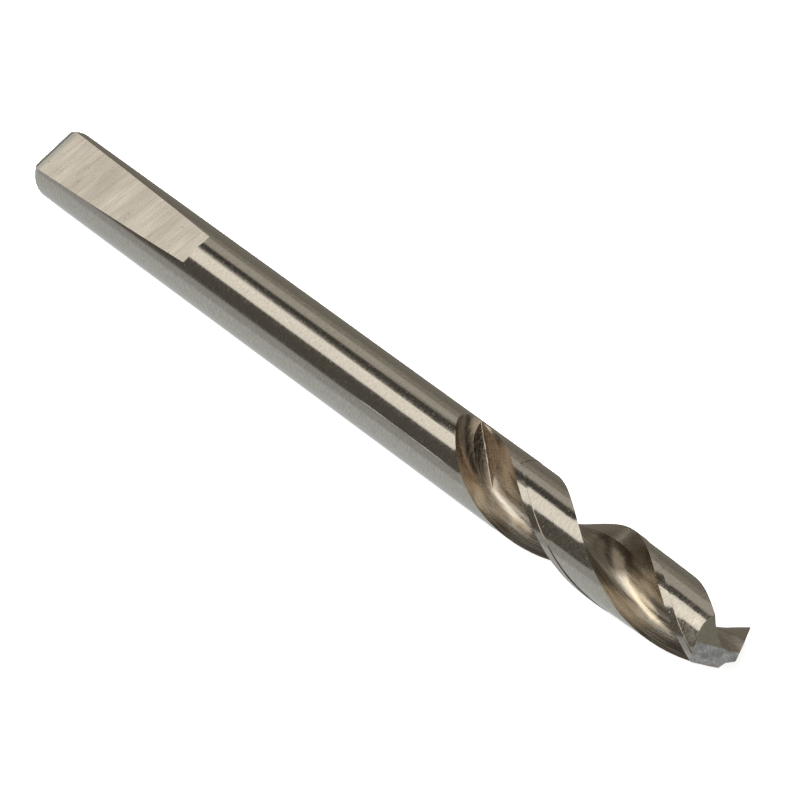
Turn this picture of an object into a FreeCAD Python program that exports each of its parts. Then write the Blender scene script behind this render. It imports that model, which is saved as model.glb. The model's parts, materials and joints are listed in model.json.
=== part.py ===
import FreeCAD, Part
import math
import os

# Pilot drill of a hole saw arbor, turned and ground from one bar of high speed steel.
# Frame: the drill lies along +X with its tip at the far end, +Z is up and out of the shank's flat.
# The origin is the centre of the shank's end face. Lengths are in millimetres, angles in degrees.

# The bar: the point cuts at full size, and the lands taper back to a slightly thinner shank
DRILL_DIAMETER = 6.35
SHANK_DIAMETER = 6.33
OVERALL_LENGTH = 82.55
SHANK_LENGTH = 49.8
END_ROUNDING = 0.95
END_ROUNDING_SWEEP = 70.0

# The flat that the arbor's set screw bears on: it is deeper at the shank's end
FLAT_LENGTH = 20.0
FLAT_DEPTH_AT_END = 1.05
FLAT_DEPTH_INSIDE = 0.40
FLAT_CORNER_RADIUS = 0.28
FLAT_END_ROUNDING = 0.65

# The two flutes, a right-hand helix, with a web that thickens towards the shank
HELIX_PITCH = 31.6
FULL_FLUTE_LENGTH = 25.3
RUN_OUT_RADIUS = 10.0
RUN_OUT_DIRECTION = 54.5
WEB_THICKNESS = 0.82
WEB_DIRECTION = 60.0
WEB_TAPER = 0.011
LAND_ANGLE = 77.0

# The flute's section: how hollow its rake face is, and two points on the back of the next heel
RAKE_HOLLOW = 0.14
POCKET_DEPTH = 0.68
POCKET_HEIGHT = 1.05
BACK_DEPTH = 0.76
BACK_HEIGHT = 2.0

# The rim of the wheel that ground a flute stays in the metal where it stopped, across the run-out
WHEEL_RADIUS = 24.0
WHEEL_CENTRE_X = 62.87
WHEEL_CENTRE_HEIGHT = 22.57
WHEEL_CENTRE_SIDE = 5.27
WHEEL_AZIMUTH = 67.8
RIM_CROWN_RADIUS = 2.4
RIM_CROWN_SWEEP = 70.0
RIM_CORNER_RADIUS = 0.12
RIM_CORNER_SWEEP = 52.0
RIM_FLANK_RADIUS = 6.0
RIM_FLANK_SWEEP = 28.0

# The lands: a narrow margin at full size leads, and the body behind it falls away to the heel
MARGIN_WIDTH = 0.68
MARGIN_STEP = 0.07
HEEL_CLEARANCE = 0.25
HEEL_CLEARANCE_AT_START = 0.01
CLEARANCE_LENGTH = 24.6

# The ground point, with a primary and a steeper secondary facet behind each lip
POINT_ANGLE = 118.0
LIP_RELIEF = 10.0
HEEL_RELIEF = 36.0
LIP_FACET_AT_AXIS = 0.35
LIP_FACET_AT_CORNER = 1.30
LIP_CORNER_AZIMUTH = -26.2

# How far the cutting tools reach past the metal, and how closely their sections are set
TOOL_OVERRUN = 1.0
SECTION_SPACING = 1.2

RADIUS = DRILL_DIAMETER / 2
SHANK_RADIUS = SHANK_DIAMETER / 2
TOOL_REACH = RADIUS + 2 * TOOL_OVERRUN
BLOCK_SIDE = 6 * DRILL_DIAMETER
CORNER_X = OVERALL_LENGTH - RADIUS / math.tan(math.radians(POINT_ANGLE / 2))
FULL_FLUTE_X = OVERALL_LENGTH - FULL_FLUTE_LENGTH
CLEARANCE_START_X = OVERALL_LENGTH - CLEARANCE_LENGTH


def leading_azimuth(x):
    """Angle from +Y towards +Z of the first land's leading edge, in radians."""
    return math.radians(LIP_CORNER_AZIMUTH) + 2 * math.pi * (x - CORNER_X) / HELIX_PITCH


def section_point(x, across, ahead, azimuth):
    """A point of the cross-section at x, measured from the leading edge's own direction."""
    y = across * math.cos(azimuth) - ahead * math.sin(azimuth)
    z = across * math.sin(azimuth) + ahead * math.cos(azimuth)
    return FreeCAD.Vector(x, y, z)


def stations(start, end):
    """Evenly spaced places along the drill, both ends included."""
    count = math.ceil((end - start) / SECTION_SPACING)
    return [start + (end - start) * i / count for i in range(count + 1)]


def half_turn(shape):
    """The same shape for the opposite flute or lip."""
    turned = shape.copy()
    turned.rotate(FreeCAD.Vector(0, 0, 0), FreeCAD.Vector(1, 0, 0), 180)
    return turned


def arc_points(centre, radius, angles):
    """Points of an arc seen from the side, at angles from +X towards +Z in radians."""
    return [centre + FreeCAD.Vector(math.cos(a), 0, math.sin(a)) * radius for a in angles]


def end_rounding(radius, centre_z, start_angle):
    """The rounded edge at the shank's end, from a straight side round to the end face."""
    end_angle = math.radians(90 + END_ROUNDING_SWEEP)
    centre = FreeCAD.Vector(-radius * math.cos(end_angle), 0, centre_z)
    return arc_points(centre, radius, [start_angle, (start_angle + end_angle) / 2, end_angle])


def bar():
    """The round bar: its shank's end is rounded, and it grows from the flutes' end to the point."""
    side, middle, end = end_rounding(END_ROUNDING, SHANK_RADIUS - END_ROUNDING, math.pi / 2)
    taper_start = FreeCAD.Vector(SHANK_LENGTH, 0, SHANK_RADIUS)
    full_size = FreeCAD.Vector(OVERALL_LENGTH, 0, RADIUS)
    far_centre = FreeCAD.Vector(OVERALL_LENGTH, 0, 0)
    near_centre = FreeCAD.Vector(0, 0, 0)
    outline = Part.Wire([
        Part.makeLine(near_centre, end),
        Part.Arc(end, middle, side).toShape(),
        Part.makeLine(side, taper_start),
        Part.makeLine(taper_start, full_size),
        Part.makeLine(full_size, far_centre),
        Part.makeLine(far_centre, near_centre),
    ])
    return Part.Face(outline).revolve(near_centre, FreeCAD.Vector(1, 0, 0), 360)


def flat_cutter():
    """What is ground off for the flat: rounded over the shank's end, with a fillet at its inner end."""
    slope = math.atan((FLAT_DEPTH_AT_END - FLAT_DEPTH_INSIDE) / FLAT_LENGTH)

    def floor_z(x):
        return SHANK_RADIUS - FLAT_DEPTH_AT_END + x * math.tan(slope)

    rounding_x = FLAT_END_ROUNDING * math.sin(math.radians(END_ROUNDING_SWEEP))
    rounding_z = floor_z(rounding_x) - FLAT_END_ROUNDING / math.cos(slope)
    brow, over_end, end = end_rounding(FLAT_END_ROUNDING, rounding_z, math.pi / 2 + slope)
    fillet_x = FLAT_LENGTH - FLAT_CORNER_RADIUS
    fillet_z = floor_z(fillet_x) + FLAT_CORNER_RADIUS / math.cos(slope)
    fillet_centre = FreeCAD.Vector(fillet_x, 0, fillet_z)
    toe_angle = slope - math.pi / 2
    toe, in_fillet, crest = arc_points(fillet_centre, FLAT_CORNER_RADIUS, [toe_angle, toe_angle / 2, 0])
    above_crest = FreeCAD.Vector(FLAT_LENGTH, 0, TOOL_REACH)
    above_end = FreeCAD.Vector(-TOOL_OVERRUN, 0, TOOL_REACH)
    beside_end = FreeCAD.Vector(-TOOL_OVERRUN, 0, end.z)
    outline = Part.Wire([
        Part.makeLine(beside_end, end),
        Part.Arc(end, over_end, brow).toShape(),
        Part.makeLine(brow, toe),
        Part.Arc(toe, in_fillet, crest).toShape(),
        Part.makeLine(crest, above_crest),
        Part.makeLine(above_crest, above_end),
        Part.makeLine(above_end, beside_end),
    ])
    cutter = Part.Face(outline).extrude(FreeCAD.Vector(0, 2 * TOOL_REACH, 0))
    cutter.translate(FreeCAD.Vector(0, -TOOL_REACH, 0))
    return cutter


def wheel_lift(x):
    """How far the flute's cutter has left the bar at x: it runs out on an arc."""
    behind = max(0.0, FULL_FLUTE_X - x)
    return RUN_OUT_RADIUS - math.sqrt(RUN_OUT_RADIUS ** 2 - behind ** 2)


def flute_section(x):
    """Closed outline of one flute at x: rake face, rounded bottom and the back of the heel."""
    azimuth = leading_azimuth(x)
    lift = wheel_lift(x)
    rise_across = WEB_TAPER * (CORNER_X - x) + lift * math.cos(math.radians(RUN_OUT_DIRECTION))
    rise_ahead = lift * math.sin(math.radians(RUN_OUT_DIRECTION))

    def at(across, ahead):
        return section_point(x, across + rise_across, ahead + rise_ahead, azimuth)

    heel = math.radians(180 - LAND_ANGLE)
    web_angle = math.radians(WEB_DIRECTION)
    half_web = WEB_THICKNESS / 2
    rake_slope = RAKE_HOLLOW / (RADIUS / 2)
    rake_top = at(TOOL_REACH, rake_slope * (RADIUS - TOOL_REACH))
    rake_middle = at(RADIUS / 2, RAKE_HOLLOW)
    web = at(half_web * math.cos(web_angle), half_web * math.sin(web_angle))
    pocket = at(-POCKET_DEPTH, POCKET_HEIGHT)
    back = at(-BACK_DEPTH, BACK_HEIGHT)
    heel_edge = at(RADIUS * math.cos(heel), RADIUS * math.sin(heel))
    heel_top = at(RADIUS * math.cos(heel), TOOL_REACH)
    bottom = Part.BSplineCurve()
    bottom.interpolate([rake_middle, web, pocket, back, heel_edge, heel_top])
    far_corner = at(TOOL_REACH, TOOL_REACH)
    return Part.Wire([
        Part.makeLine(rake_top, rake_middle),
        bottom.toShape(),
        Part.makeLine(heel_top, far_corner),
        Part.makeLine(far_corner, rake_top),
    ])


def flute_cutter():
    """One flute with its run-out, lofted through sections that turn with the helix."""
    lift_needed = RADIUS + TOOL_OVERRUN
    run_out = math.sqrt(RUN_OUT_RADIUS ** 2 - (RUN_OUT_RADIUS - lift_needed) ** 2)
    places = stations(FULL_FLUTE_X - run_out, OVERALL_LENGTH + TOOL_OVERRUN)
    return Part.makeLoft([flute_section(x) for x in places], True, False)


def stopped_wheel():
    """The grinding wheel where it stopped: a disc in the plane of the helix, with a crowned rim."""
    helix_angle = math.atan(math.pi * DRILL_DIAMETER / HELIX_PITCH)
    azimuth = math.radians(WHEEL_AZIMUTH)
    crown_start = math.radians(90 + RIM_CROWN_SWEEP)
    crown_end = math.radians(90)
    corner_end = math.radians(90 - RIM_CORNER_SWEEP)
    flank_end = math.radians(90 - RIM_CORNER_SWEEP - RIM_FLANK_SWEEP)
    crown_centre = FreeCAD.Vector(0, 0, WHEEL_RADIUS - RIM_CROWN_RADIUS)
    corner_centre = FreeCAD.Vector(0, 0, WHEEL_RADIUS - RIM_CORNER_RADIUS)
    flank_shift = RIM_CORNER_RADIUS - RIM_FLANK_RADIUS
    flank_centre = arc_points(corner_centre, flank_shift, [corner_end])[0]
    crown_angles = [crown_start, (crown_start + crown_end) / 2, crown_end]
    corner_angles = [crown_end, (crown_end + corner_end) / 2, corner_end]
    flank_angles = [corner_end, (corner_end + flank_end) / 2, flank_end]
    crown = arc_points(crown_centre, RIM_CROWN_RADIUS, crown_angles)
    corner = arc_points(corner_centre, RIM_CORNER_RADIUS, corner_angles)
    flank = arc_points(flank_centre, RIM_FLANK_RADIUS, flank_angles)
    near_hub = FreeCAD.Vector(crown[0].x, 0, 0)
    far_hub = FreeCAD.Vector(flank[2].x, 0, 0)
    outline = Part.Wire([
        Part.makeLine(near_hub, crown[0]),
        Part.Arc(*crown).toShape(),
        Part.Arc(*corner).toShape(),
        Part.Arc(*flank).toShape(),
        Part.makeLine(flank[2], far_hub),
        Part.makeLine(far_hub, near_hub),
    ])
    wheel = Part.Face(outline).revolve(near_hub, FreeCAD.Vector(1, 0, 0), 360)
    outwards = FreeCAD.Vector(0, math.cos(azimuth), math.sin(azimuth))
    sideways = FreeCAD.Vector(0, math.sin(azimuth), -math.cos(azimuth))
    axis = FreeCAD.Vector(math.sin(helix_angle), 0, 0) + sideways * math.cos(helix_angle)
    centre = outwards * WHEEL_CENTRE_HEIGHT - sideways * WHEEL_CENTRE_SIDE
    centre.x = WHEEL_CENTRE_X
    wheel.Placement = FreeCAD.Placement(centre, FreeCAD.Rotation(FreeCAD.Vector(1, 0, 0), axis))
    return wheel


def clearance_section(x):
    """Outline at x of what is ground off behind one land's margin."""
    margin = MARGIN_WIDTH / RADIUS
    past_heel = math.radians(LAND_ANGLE) + margin
    azimuth = leading_azimuth(x)
    share = (x - CLEARANCE_START_X) / (CORNER_X - CLEARANCE_START_X)
    heel_clearance = HEEL_CLEARANCE_AT_START + share * (HEEL_CLEARANCE - HEEL_CLEARANCE_AT_START)
    front_radius = RADIUS - MARGIN_STEP
    heel_radius = RADIUS - heel_clearance

    def at(radius, behind):
        return section_point(x, radius, 0, azimuth - behind)

    middle = (margin + past_heel) / 2
    front = at(front_radius, margin)
    crown = at((front_radius + heel_radius) / 2, middle)
    rear = at(heel_radius, past_heel)
    outer = RADIUS + TOOL_OVERRUN
    return Part.Wire([
        Part.Arc(front, crown, rear).toShape(),
        Part.makeLine(rear, at(outer, past_heel)),
        Part.Arc(at(outer, past_heel), at(outer, middle), at(outer, margin)).toShape(),
        Part.makeLine(at(outer, margin), front),
    ])


def clearance_cutter():
    """The relief of one land's body, which starts square across the land."""
    places = stations(CLEARANCE_START_X, OVERALL_LENGTH + TOOL_OVERRUN)
    return Part.makeLoft([clearance_section(x) for x in places], True, False)


def facet_cutter(lip_azimuth, at_axis, lip_slope, relief_slope):
    """All that lies above one ground plane, given by its slopes along and behind the lip."""
    along = section_point(0, 1, 0, lip_azimuth)
    behind = section_point(0, 0, -1, lip_azimuth)
    normal = FreeCAD.Vector(1, 0, 0) + along * lip_slope + behind * relief_slope
    corner = FreeCAD.Vector(-BLOCK_SIDE / 2, -BLOCK_SIDE / 2, 0)
    block = Part.makeBox(BLOCK_SIDE, BLOCK_SIDE, BLOCK_SIDE, corner)
    block.Placement = FreeCAD.Placement(
        FreeCAD.Vector(at_axis, 0, 0),
        FreeCAD.Rotation(FreeCAD.Vector(0, 0, 1), normal),
    )
    return block


def facet_cutters():
    """The primary and the secondary facet of one lip."""
    half_web = WEB_THICKNESS / 2
    lip_azimuth = leading_azimuth(CORNER_X) - math.asin(half_web / RADIUS)
    lip_slope = math.tan(math.radians(90 - POINT_ANGLE / 2))
    lip_relief = math.tan(math.radians(LIP_RELIEF))
    heel_relief = math.tan(math.radians(HEEL_RELIEF))
    facet_flare = (LIP_FACET_AT_CORNER - LIP_FACET_AT_AXIS) / RADIUS
    extra_relief = heel_relief - lip_relief
    heel_at_axis = OVERALL_LENGTH + extra_relief * LIP_FACET_AT_AXIS
    heel_slope = lip_slope - extra_relief * facet_flare
    primary = facet_cutter(lip_azimuth, OVERALL_LENGTH, lip_slope, lip_relief)
    secondary = facet_cutter(lip_azimuth, heel_at_axis, heel_slope, heel_relief)
    return [primary, secondary]


def pilot_drill():
    """The finished drill: bar, flat, lands, flutes and point, in the order of the work."""
    drill = bar().cut(flat_cutter())
    one_side = [clearance_cutter(), flute_cutter(), stopped_wheel()] + facet_cutters()
    for cutter in one_side:
        drill = drill.cut(cutter)
        drill = drill.cut(half_turn(cutter))
    return drill.Solids[0]


os.makedirs("parts", exist_ok=True)
pilot_drill().exportStep("parts/pilot_drill.step")
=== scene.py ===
import json
import math

import bpy
from mathutils import Matrix, Vector

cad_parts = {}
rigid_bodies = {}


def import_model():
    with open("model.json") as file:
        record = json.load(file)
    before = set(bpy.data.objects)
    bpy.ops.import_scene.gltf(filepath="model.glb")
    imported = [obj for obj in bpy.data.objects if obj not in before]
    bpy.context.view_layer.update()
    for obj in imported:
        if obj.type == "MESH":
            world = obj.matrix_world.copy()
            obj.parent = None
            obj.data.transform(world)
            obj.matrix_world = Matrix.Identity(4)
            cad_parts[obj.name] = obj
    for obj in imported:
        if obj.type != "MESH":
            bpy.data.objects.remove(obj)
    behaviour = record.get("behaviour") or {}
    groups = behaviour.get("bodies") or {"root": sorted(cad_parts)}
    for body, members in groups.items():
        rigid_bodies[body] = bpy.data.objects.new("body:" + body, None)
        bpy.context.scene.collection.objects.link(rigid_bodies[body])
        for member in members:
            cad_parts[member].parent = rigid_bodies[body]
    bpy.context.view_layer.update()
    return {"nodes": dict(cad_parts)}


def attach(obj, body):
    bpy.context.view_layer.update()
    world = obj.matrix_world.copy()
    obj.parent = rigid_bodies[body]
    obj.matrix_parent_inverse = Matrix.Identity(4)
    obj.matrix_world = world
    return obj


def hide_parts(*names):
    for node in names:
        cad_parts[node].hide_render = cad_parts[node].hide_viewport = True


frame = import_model()


# The drill, turned and ground from one bar of high speed steel.
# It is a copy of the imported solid. Its ground faces are still separate sheets here, so that each
# can be given its own finish below, and they are joined after that.
packed_drill = frame["nodes"]["pilot_drill"]
bpy.ops.object.select_all(action="DESELECT")
packed_drill.select_set(True)
bpy.context.view_layer.objects.active = packed_drill
bpy.ops.object.duplicate()
drill = bpy.context.object
drill.name = "drill_body"
# The copy is a new piece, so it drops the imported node's tags, parent and finish.
for key in list(drill.keys()):
    del drill[key]
drill.parent = None
drill.matrix_world = Matrix.Identity(4)
drill.data.materials.clear()


# The shank, its rounded end and the lands: bare bright steel, ground between wheels as the bar turns.
# The wheel leaves short strokes round the bar and a few pits, far finer than a pixel in truth and drawn
# a seventh of a millimetre wide here, which gives the streaks of light along the bar a fine grain.
MM = 0.001
SCRATCH_PLACE = (47.5, -2.02, 2.436)
SCRATCH_AXIS = (1.0, -0.004, -0.0025)
SCRATCH_RELIEF = 26.0
PIT_RELIEF = -4.0


def hex_colour(text):
    """A linear RGBA colour from an sRGB hex value."""
    channels = [int(text[i:i + 2], 16) / 255 for i in (0, 2, 4)]
    linear = [c / 12.92 if c <= 0.04045 else ((c + 0.055) / 1.055) ** 2.4 for c in channels]
    return (*linear, 1.0)


def add_node(material, kind, inputs=(), **settings):
    """Adds one node to a material, with its settings and with the values or links of its inputs."""
    node = material.node_tree.nodes.new(kind)
    for name, value in settings.items():
        setattr(node, name, value)
    for socket, value in dict(inputs).items():
        if isinstance(value, bpy.types.NodeSocket):
            material.node_tree.links.new(value, node.inputs[socket])
        else:
            node.inputs[socket].default_value = value
    return node


def new_material(name):
    """An empty material, ready for its nodes."""
    material = bpy.data.materials.new(name)
    material.use_nodes = True
    material.node_tree.nodes.clear()
    return material


def stretched(place, sizes, axis, centre=(0, 0, 0)):
    """What makes a mapping count a place from a centre in steps along and across an axis, all in mm."""
    return {
        "Vector": place,
        "Location": [value * MM for value in centre],
        "Rotation": Vector(axis).to_track_quat("X", "Z").to_euler(),
        "Scale": [size * MM for size in sizes],
    }


def strokes(material, place, sizes, axis=(1, 0, 0), detail=3.0):
    """Grinding strokes of the sizes in mm along an axis and across it, as a value round one half."""
    steps = add_node(material, "ShaderNodeMapping", stretched(place, sizes, axis), vector_type="TEXTURE")
    noise = add_node(material, "ShaderNodeTexNoise", {
        "Vector": steps.outputs["Vector"],
        "Scale": 1.0,
        "Detail": detail,
        "Roughness": 0.6,
    })
    return noise.outputs["Fac"]


def spot(material, place, centre, sizes, axis=(1, 0, 0)):
    """A soft spot or line: 1 at its centre, 0 from the sizes in mm outwards."""
    steps = add_node(
        material, "ShaderNodeMapping", stretched(place, sizes, axis, centre), vector_type="TEXTURE",
    )
    distance = add_node(material, "ShaderNodeVectorMath", {0: steps.outputs["Vector"]}, operation="LENGTH")
    fade = add_node(material, "ShaderNodeMapRange", {
        "Value": distance.outputs["Value"],
        "From Min": 1.0,
        "From Max": 0.3,
    }, interpolation_type="SMOOTHSTEP")
    return fade.outputs["Result"]


def two_tones(material, amount, first, second, start=0.3, end=0.7):
    """A colour that drifts from the first to the second as the amount goes from start to end."""
    share = add_node(material, "ShaderNodeMapRange", {"Value": amount, "From Min": start, "From Max": end})
    # A mix node has its two colours at the inputs 6 and 7, and the mixed one at the output 2.
    mix = add_node(material, "ShaderNodeMix", {
        "Factor": share.outputs["Result"],
        6: first,
        7: second,
    }, data_type="RGBA")
    return mix.outputs[2]


def ground_surface(material, colour, marks, roughness, height, depth, brushing=()):
    """Bare steel: marks take it from the lower to the higher roughness, and its relief has a depth in mm."""
    low, high = roughness
    spread = add_node(material, "ShaderNodeMapRange", {
        "Value": marks,
        "From Min": 0.3,
        "From Max": 0.7,
        "To Min": low,
        "To Max": high,
    })
    relief = add_node(material, "ShaderNodeBump", {"Height": height, "Distance": depth * MM, "Strength": 1.0})
    shader = add_node(material, "ShaderNodeBsdfPrincipled", {
        "Base Color": colour,
        "Metallic": 1.0,
        "Roughness": spread.outputs["Result"],
        "Normal": relief.outputs["Normal"],
        **dict(brushing),
    })
    add_node(material, "ShaderNodeOutputMaterial", {"Surface": shader.outputs["BSDF"]})


def give_finish(material, *places, half_turn=True):
    """Gives a finish to the ground face at each place, in mm, and to its twin half a turn round, if any."""
    drill.data.materials.append(material)
    drill.active_material_index = len(drill.data.materials) - 1
    for x, y, z in places:
        pair = [(x, y, z), (x, -y, -z)] if half_turn else [(x, y, z)]
        for face_place in pair:
            index = drill.closest_point_on_mesh(Vector(face_place) * MM)[3]
            bpy.ops.object.mode_set(mode="EDIT")
            bpy.ops.mesh.select_all(action="DESELECT")
            bpy.ops.object.mode_set(mode="OBJECT")
            drill.data.polygons[index].select = True
            bpy.ops.object.mode_set(mode="EDIT")
            bpy.ops.mesh.select_linked()
            bpy.ops.object.material_slot_assign()
            bpy.ops.object.mode_set(mode="OBJECT")


round_steel = new_material("round_ground_steel")
place = add_node(round_steel, "ShaderNodeTexCoord").outputs["Object"]
fine = strokes(round_steel, place, sizes=(0.14, 0.35, 0.35))
pits = strokes(round_steel, place, sizes=(0.16, 0.16, 0.16), detail=1.0)
deep_pits = add_node(round_steel, "ShaderNodeMapRange", {"Value": pits, "From Min": 0.72, "From Max": 0.80})
# One long fine scratch, whose raised edge catches the light, runs along the shank to the first flute.
scratch = spot(round_steel, place, SCRATCH_PLACE, (7.2, 0.06, 0.06), SCRATCH_AXIS)
scratched = add_node(round_steel, "ShaderNodeMath", {
    0: scratch,
    1: SCRATCH_RELIEF,
    2: fine,
}, operation="MULTIPLY_ADD")
pitted = add_node(round_steel, "ShaderNodeMath", {
    0: deep_pits.outputs["Result"],
    1: PIT_RELIEF,
    2: scratched.outputs["Value"],
}, operation="MULTIPLY_ADD")
tone = two_tones(round_steel, fine, hex_colour("B1ABA0"), hex_colour("C8C2B6"))
ground_surface(
    round_steel, tone, marks=fine, roughness=(0.11, 0.18), height=pitted.outputs["Value"], depth=0.0012,
)
give_finish(
    round_steel,
    (33.5, -0.15, -3.15), (0.39, 2.84, -1.01), (0.0, -0.7, 0.0),
    (52.37, 3.0, -0.99), (63.25, -0.04, -3.10), (77.32, -0.74, 3.03), (78.34, -1.85, 2.57),
    (73.92, -0.81, -3.06), (57.95, -1.56, -2.72),
)


# The flat for the set screw: bare steel, ground across the shank with the edge of a coarse wheel.
# The wheel leaves long lines across the flat, a fifth of a millimetre apart, with paler and darker
# passes a millimetre wide and a few stains, so it looks brushed and a little uneven.
FLAT_LINES_AXIS = (0.9934, -0.1149, 0.0)
END_ROUNDING_X = (0.8, 1.1)
flat_steel = new_material("cross_ground_flat")
place = add_node(flat_steel, "ShaderNodeTexCoord").outputs["Object"]
lines = strokes(flat_steel, place, sizes=(0.2, 6.0, 6.0), axis=FLAT_LINES_AXIS, detail=5.0)
passes = strokes(flat_steel, place, sizes=(1.1, 5.0, 5.0), axis=FLAT_LINES_AXIS)
stains = strokes(flat_steel, place, sizes=(0.5, 0.5, 0.5), detail=1.0)
clean_tone = two_tones(flat_steel, passes, hex_colour("B0A99C"), hex_colour("C9C2B6"))
stained_tone = two_tones(flat_steel, stains, clean_tone, hex_colour("8A8070"), start=0.72, end=0.82)
# The edge that is rounded over at the shank's end is a cooler grey.
parts = add_node(flat_steel, "ShaderNodeSeparateXYZ", {"Vector": place})
rounding_start, rounding_end = [x * MM for x in END_ROUNDING_X]
tone = two_tones(
    flat_steel, parts.outputs["X"], hex_colour("A6A69E"), stained_tone,
    start=rounding_start, end=rounding_end,
)
ground_surface(flat_steel, tone, marks=lines, roughness=(0.18, 0.28), height=lines, depth=0.0045)
give_finish(
    flat_steel,
    (3.26, 0.70, 2.22), (0.57, 0.75, 2.13), (20.0, -0.30, 3.0), (20.0, 0.2, 3.06),
    half_turn=False,
)


# The flutes: bare steel, ground deep in one pass, and still brown in places from the heat of it.
# The marks run along the flute, so they are drawn on the bar as if it were untwisted, and they spread
# the light across the flute. The run-out is brownest, where the wheel dwelt before it was stopped.
HELIX_PITCH = 31.6
RUN_OUT_MARKS_PITCH = 8.5
RUN_OUT_PLACE = (52.2, 0.0, 0.0)
OUTWARD_AXIS = (0.83, 0.55, 0.10)
LIP_X = (79.6, 80.4)
PAINTED_HIGHLIGHT_PLACE = (72.4, -0.5, -0.1)
PAINTED_SHADE_PLACE = (67.6, 1.2, 0.9)
FLUTE_GLOW_AXIS = (0.937, -0.300, -0.177)
DARK_STREAK_PLACE = (53.88, -0.41, 1.16)
DARK_STREAK_AXIS = (0.738, -0.618, -0.271)
FIRST_FLUTE_HIGHLIGHT_PLACE = (56.2, 0.4, 1.0)


def untwisted(material, place, pitch):
    """The place as it would be if the bar were untwisted by one turn in each pitch, in mm."""
    parts = add_node(material, "ShaderNodeSeparateXYZ", {"Vector": place})
    angle = add_node(material, "ShaderNodeMath", {
        0: parts.outputs["X"],
        1: -2 * math.pi / (pitch * MM),
    }, operation="MULTIPLY")
    return add_node(material, "ShaderNodeVectorRotate", {
        "Vector": place,
        "Angle": angle.outputs["Value"],
    }, rotation_type="X_AXIS").outputs["Vector"]


flute_steel = new_material("heat_browned_flute")
place = add_node(flute_steel, "ShaderNodeTexCoord").outputs["Object"]
unwound = untwisted(flute_steel, place, HELIX_PITCH)
swirl = add_node(flute_steel, "ShaderNodeVectorMath", {
    0: (2 * math.pi / (HELIX_PITCH * MM), 0, 0),
    1: place,
}, operation="CROSS_PRODUCT")
flute_direction = add_node(flute_steel, "ShaderNodeVectorMath", {
    0: swirl.outputs["Vector"],
    1: (1, 0, 0),
}, operation="ADD")

# The marks follow the flute, turn steeply round the run-out, and run outwards by the lip.
along = strokes(flute_steel, unwound, sizes=(4.0, 0.15, 0.15), detail=1.5)
steeply_unwound = untwisted(flute_steel, place, RUN_OUT_MARKS_PITCH)
across = strokes(flute_steel, steeply_unwound, sizes=(3.0, 0.2, 0.2), detail=1.0)
outward = strokes(flute_steel, place, sizes=(3.0, 0.1, 0.1), axis=OUTWARD_AXIS)
run_out = spot(flute_steel, place, RUN_OUT_PLACE, sizes=(6.0, 6.0, 6.0))
parts = add_node(flute_steel, "ShaderNodeSeparateXYZ", {"Vector": place})
by_the_lip = add_node(flute_steel, "ShaderNodeMapRange", {
    "Value": parts.outputs["X"],
    "From Min": LIP_X[0] * MM,
    "From Max": LIP_X[1] * MM,
})
early_marks = add_node(flute_steel, "ShaderNodeMix", {0: run_out, 2: along, 3: across}, data_type="FLOAT")
marks = add_node(flute_steel, "ShaderNodeMix", {
    0: by_the_lip.outputs["Result"],
    2: early_marks.outputs[0],
    3: outward,
}, data_type="FLOAT").outputs[0]

# The brown lies in clouds along the flute and all over the run-out.
clouds = strokes(flute_steel, unwound, sizes=(3.0, 0.6, 0.6), detail=4.0)
streaked_tone = two_tones(flute_steel, marks, hex_colour("A19A8E"), hex_colour("C6C1B6"))
browned_tone = two_tones(flute_steel, marks, hex_colour("84786A"), hex_colour("ADA090"))
patchy_tone = two_tones(flute_steel, clouds, browned_tone, streaked_tone, start=0.36, end=0.56)
run_out_tone = two_tones(flute_steel, run_out, patchy_tone, browned_tone)

# Four places have a tone of their own: two painted highlights, painted shade and a darker streak.
# A painted highlight: a paler tone along the bottom of the second flute, where its streak of light runs.
painted_highlight = spot(flute_steel, place, PAINTED_HIGHLIGHT_PLACE, (4.2, 0.9, 0.9), FLUTE_GLOW_AXIS)
painted_highlight_tone = two_tones(flute_steel, painted_highlight, run_out_tone, hex_colour("CFC3AE"))
# Painted shade: a darker tone on the second flute, towards the shank from its painted highlight.
painted_shade = spot(flute_steel, place, PAINTED_SHADE_PLACE, (5.0, 2.4, 2.4), FLUTE_GLOW_AXIS)
painted_shade_tone = two_tones(flute_steel, painted_shade, painted_highlight_tone, hex_colour("786E60"))
# A darker streak along the run-out's crease.
dark_streak = spot(flute_steel, place, DARK_STREAK_PLACE, (1.15, 0.42, 0.42), DARK_STREAK_AXIS)
dark_streaked_tone = two_tones(flute_steel, dark_streak, painted_shade_tone, hex_colour("867664"), start=0.0, end=1.0)
# A painted highlight: a paler tone at the bottom of the first flute, just past the run-out.
first_flute_highlight = spot(flute_steel, place, FIRST_FLUTE_HIGHLIGHT_PLACE, (1.6, 1.6, 1.6))
tone = two_tones(flute_steel, first_flute_highlight, dark_streaked_tone, hex_colour("BDB3A6"), start=0.0, end=1.0)
ground_surface(flute_steel, tone, marks=marks, roughness=(0.20, 0.32), height=marks, depth=0.0035, brushing={
    "Anisotropic": 0.4,
    "Anisotropic Rotation": 0.25,
    "Tangent": flute_direction.outputs["Vector"],
})
give_finish(
    flute_steel,
    (59.67, -0.82, -0.39), (56.35, -2.16, 0.72), (54.22, 1.25, 1.20), (52.8, 1.67, 1.2), (52.9, 1.5, 1.17),
)


# The rake faces, which end in the lips: bare steel, ground with the flutes but not browned.
# The wheel's marks run outwards here, a tenth of a millimetre wide, and give a soft brushed look.
rake_steel = new_material("rake_face_steel")
place = add_node(rake_steel, "ShaderNodeTexCoord").outputs["Object"]
outward = strokes(rake_steel, place, sizes=(4.0, 0.1, 0.1), axis=OUTWARD_AXIS)
tone = two_tones(rake_steel, outward, hex_colour("AC9F90"), hex_colour("C4B9AA"))
ground_surface(rake_steel, tone, marks=outward, roughness=(0.24, 0.34), height=outward, depth=0.004)
give_finish(rake_steel, (79.57, -1.92, 1.43))


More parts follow.
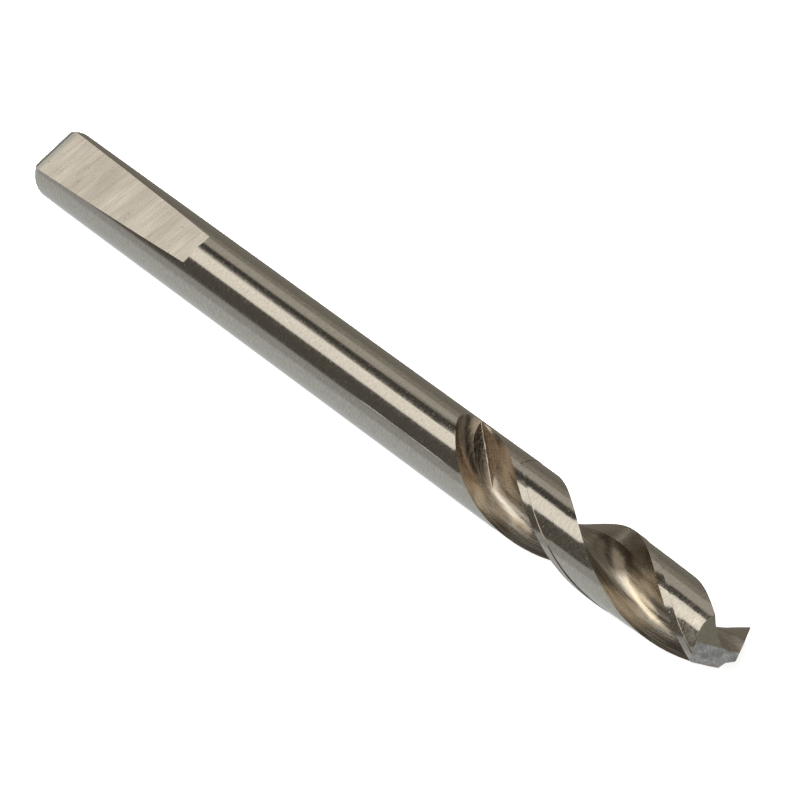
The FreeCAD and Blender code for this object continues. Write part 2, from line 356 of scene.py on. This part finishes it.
# The point: four facets of bare steel, ground last on the face of a wheel.
# The primary facets behind the lips are rough, and their grit of a seventh of a millimetre glints.
# The secondary facets are smoother, with short faint strokes.
primary_steel = new_material("rough_ground_facet")
place = add_node(primary_steel, "ShaderNodeTexCoord").outputs["Object"]
grit = strokes(primary_steel, place, sizes=(0.14, 0.14, 0.14), detail=4.0)
patches = strokes(primary_steel, place, sizes=(0.7, 0.7, 0.7), detail=2.0)
clean_tone = two_tones(primary_steel, grit, hex_colour("93928E"), hex_colour("DAD9D5"))
tone = two_tones(primary_steel, patches, clean_tone, hex_colour("92918F"), start=0.4)
ground_surface(primary_steel, tone, marks=grit, roughness=(0.34, 0.46), height=grit, depth=0.03)
give_finish(primary_steel, (81.26, 1.56, -1.38))

secondary_steel = new_material("smooth_ground_facet")
place = add_node(secondary_steel, "ShaderNodeTexCoord").outputs["Object"]
faint = strokes(secondary_steel, place, sizes=(0.2, 0.6, 0.6))
tone = two_tones(secondary_steel, faint, hex_colour("A5A092"), hex_colour("B8B3A6"))
ground_surface(secondary_steel, tone, marks=faint, roughness=(0.26, 0.34), height=faint, depth=0.004)
give_finish(secondary_steel, (81.25, -0.81, 1.81), (82.51, 0.30, 0.26))


# The ground faces are joined into the one bar that they are.
# Their borders stay sharp, and each keeps the solid's own smooth shading.
bpy.ops.object.mode_set(mode="EDIT")
bpy.ops.mesh.select_mode(type="EDGE")
bpy.ops.mesh.select_all(action="DESELECT")
bpy.ops.mesh.select_non_manifold()
bpy.ops.mesh.mark_sharp()
bpy.ops.mesh.select_all(action="SELECT")
bpy.ops.mesh.remove_doubles(threshold=1e-7)
bpy.ops.object.mode_set(mode="OBJECT")
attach(drill, "root")
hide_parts("pilot_drill")


# The floor is a sheet of white paper that the drill lies on.
# The camera and reflections see it pure white, and it keeps the drill's faint shadow.
FLOOR_Z = -3.18
FLOOR_RADIUS = 4000.0
bpy.ops.object.select_all(action="DESELECT")
bpy.ops.mesh.primitive_circle_add(
    vertices=96, radius=FLOOR_RADIUS * MM, fill_type="NGON", location=(0, 0, FLOOR_Z * MM),
)
floor = bpy.context.object
floor.name = "floor"
paper = new_material("white_paper")
light_path = add_node(paper, "ShaderNodeLightPath")
seen = add_node(paper, "ShaderNodeMath", {
    0: light_path.outputs["Is Camera Ray"],
    1: light_path.outputs["Is Glossy Ray"],
}, operation="ADD")
seen_through = add_node(paper, "ShaderNodeMath", {
    0: seen.outputs["Value"],
    1: light_path.outputs["Is Transmission Ray"],
}, operation="ADD", use_clamp=True)
glow = add_node(paper, "ShaderNodeEmission", {"Color": hex_colour("FFFFFF"), "Strength": 0.72})
dull = add_node(paper, "ShaderNodeBsdfDiffuse", {"Color": hex_colour("F2F2F2")})
bright = add_node(paper, "ShaderNodeAddShader", {0: dull.outputs["BSDF"], 1: glow.outputs["Emission"]})
choice = add_node(paper, "ShaderNodeMixShader", {
    0: seen_through.outputs["Value"],
    1: dull.outputs["BSDF"],
    2: bright.outputs["Shader"],
})
add_node(paper, "ShaderNodeOutputMaterial", {"Surface": choice.outputs["Shader"]})
floor.data.materials.append(paper)


# The studio round the drill: soft boxes above, and dark and grey cards that shape its reflections.
# They stand about 0.3 m off, and two lie on the paper. Only reflections see them. Their colours are
# linear light, in which 1 is white and a soft box is brighter than white.
STUDIO_START_X = -320
LANDS_CARDS_X = -152
FLUTES_CARDS_X = -55
END_FLAGS_X = 255
STUDIO_END_X = 420
STUDIO_SIDE = 300
STUDIO_TOP = 320
CARD_HEIGHT = FLOOR_Z + 0.02


def card(name, corners, light):
    """A flat card through four corners in mm, which glows in its colour."""
    mesh = bpy.data.meshes.new(name)
    mesh.from_pydata([Vector(corner) * MM for corner in corners], [], [(0, 1, 2, 3)])
    piece = bpy.data.objects.new(name, mesh)
    bpy.context.scene.collection.objects.link(piece)
    surface = new_material(name)
    glow = add_node(surface, "ShaderNodeEmission", {"Color": (*light, 1.0), "Strength": 1.0})
    add_node(surface, "ShaderNodeOutputMaterial", {"Surface": glow.outputs["Emission"]})
    mesh.materials.append(surface)
    piece.visible_camera = False
    piece.visible_diffuse = False
    piece.visible_shadow = False


def rim_place(azimuth, distance, x):
    """A place at a distance from the axis, at an azimuth from straight up towards -Y."""
    angle = math.radians(azimuth)
    return (x, -distance * math.sin(angle), distance * math.cos(angle))


def long_card(name, near, far, distance, light):
    """A card along the drill. Each of its two ends is given by its x and its two azimuths."""
    near_x, near_start, near_end = near
    far_x, far_start, far_end = far
    card(name, [
        rim_place(near_start, distance, near_x),
        rim_place(far_start, distance, far_x),
        rim_place(far_end, distance, far_x),
        rim_place(near_end, distance, near_x),
    ], light)


# The shank sees what lies beyond its own end, and the lands see the cards from LANDS_CARDS_X on.
SOFT_BOX_LIGHT = (1.31, 1.275, 1.225)
long_card("shank_soft_box", (STUDIO_START_X, -24.2, 17.5), (LANDS_CARDS_X, -24.2, 17.5), 290, SOFT_BOX_LIGHT)
long_card("land_soft_box", (LANDS_CARDS_X, -24.2, 17.5), (FLUTES_CARDS_X, -20, 17.5), 290, SOFT_BOX_LIGHT)
long_card("shank_gap", (STUDIO_START_X, -43, -20), (LANDS_CARDS_X, -43, -20), 295, (0.06, 0.056, 0.05))
long_card("land_gap", (LANDS_CARDS_X, -50, -20), (FLUTES_CARDS_X, -36, -18), 295, (0.07, 0.066, 0.06))
long_card("back_wall", (STUDIO_START_X, -70, -20), (FLUTES_CARDS_X, -70, -20), 330, (0.56, 0.54, 0.50))
long_card("front_flag", (STUDIO_START_X, 17, 64.5), (FLUTES_CARDS_X, 17, 64.5), 300, (0.115, 0.108, 0.098))
long_card("front_flag_tail", (STUDIO_START_X, 63, 86), (-165, 63, 64.5), 290, (0.14, 0.13, 0.12))
long_card("low_front_wall", (STUDIO_START_X, 64.5, 92), (95, 64.5, 92), 300, (0.45, 0.46, 0.47))
long_card("back_flag", (STUDIO_START_X, -97, -70), (END_FLAGS_X, -97, -70), 300, (0.34, 0.32, 0.285))

# The flutes and the point see what lies above the drill and beyond its tip.
long_card("flute_soft_box", (FLUTES_CARDS_X, -20, 18.5), (95, -20, 18.5), 290, (2.0, 1.92, 1.78))
long_card("front_fill", (FLUTES_CARDS_X, 18.5, 62), (20, 18.5, 62), 300, (1.25, 1.17, 1.06))
long_card("back_fill", (-40, -42, -20), (80, -42, -20), 300, (0.95, 0.90, 0.82))
long_card("back_low_wall", (-20, -110, -42), (60, -110, -42), 295, (0.34, 0.31, 0.27))
long_card("end_top_flag", (95, -20.5, 18.5), (END_FLAGS_X, -20.5, 18.5), 300, (0.13, 0.12, 0.11))
long_card("end_front_flag", (20, 18.5, 68), (END_FLAGS_X, 18.5, 68), 300, (0.13, 0.12, 0.11))
long_card("end_back_flag", (95, -70, -20.5), (END_FLAGS_X, -70, -20.5), 300, (0.05, 0.047, 0.042))


def floor_card(name, far_y, light):
    """A card just above the paper, from under the drill out to one side."""
    card(name, [
        (STUDIO_START_X, 0.1, CARD_HEIGHT),
        (STUDIO_END_X, 0.1, CARD_HEIGHT),
        (STUDIO_END_X, far_y, CARD_HEIGHT),
        (STUDIO_START_X, far_y, CARD_HEIGHT),
    ], light)


def end_card(name, x, start_y, end_y, top, light):
    """An upright card across the drill's line, which stands just above the paper."""
    card(name, [
        (x, start_y, CARD_HEIGHT),
        (x, end_y, CARD_HEIGHT),
        (x, end_y, top),
        (x, start_y, top),
    ], light)


floor_card("back_floor", STUDIO_SIDE, (0.24, 0.225, 0.20))
floor_card("front_floor", -STUDIO_SIDE, (0.61, 0.64, 0.66))
end_card("shank_end_flag", STUDIO_START_X, -STUDIO_SIDE, STUDIO_SIDE, STUDIO_TOP, (0.14, 0.13, 0.12))
end_card("shank_end_card", STUDIO_START_X + 1, 61, 86, 215, (0.80, 0.81, 0.78))
end_card("point_end_card", STUDIO_END_X, -STUDIO_SIDE, STUDIO_SIDE, STUDIO_TOP, (0.34, 0.325, 0.295))

# The lamp lights the paper round the drill and gives its shadow. No reflection shows it.
lamp_data = bpy.data.lights.new("soft_box", "AREA")
lamp_data.shape = "RECTANGLE"
lamp_data.size = 500 * MM
lamp_data.size_y = 300 * MM
lamp_data.energy = 3.0
lamp = bpy.data.objects.new("soft_box", lamp_data)
lamp.location = (0.0, 0.0, 500 * MM)
lamp.visible_glossy = False
bpy.context.scene.collection.objects.link(lamp)

# The room behind the cards is a plain grey.
studio = bpy.data.worlds.new("studio")
studio.use_nodes = True
studio.node_tree.nodes["Background"].inputs["Color"].default_value = (0.45, 0.44, 0.42, 1.0)
studio.node_tree.nodes["Background"].inputs["Strength"].default_value = 1.0
bpy.context.scene.world = studio


# The camera stands where the photograph was taken from, in front of the point and above it.
# Its long lens looks at the drill from 0.37 m.
CAMERA_PLACE = (258.9486, -83.1432, 290.5790)
CAMERA_RIGHT = Vector((0.65797, 0.69603, -0.28743))
CAMERA_UP = Vector((-0.47972, 0.68163, 0.55249))
camera_data = bpy.data.cameras.new("camera")
camera_data.sensor_width = 36.0
camera_data.lens = 209.1455
camera = bpy.data.objects.new("camera", camera_data)
bpy.context.scene.collection.objects.link(camera)
turn = Matrix((CAMERA_RIGHT, CAMERA_UP, CAMERA_RIGHT.cross(CAMERA_UP))).transposed()
camera.matrix_world = Matrix.Translation(Vector(CAMERA_PLACE) * MM) @ turn.to_4x4()
bpy.context.scene.camera = camera
bpy.context.scene.view_settings.view_transform = "Standard"
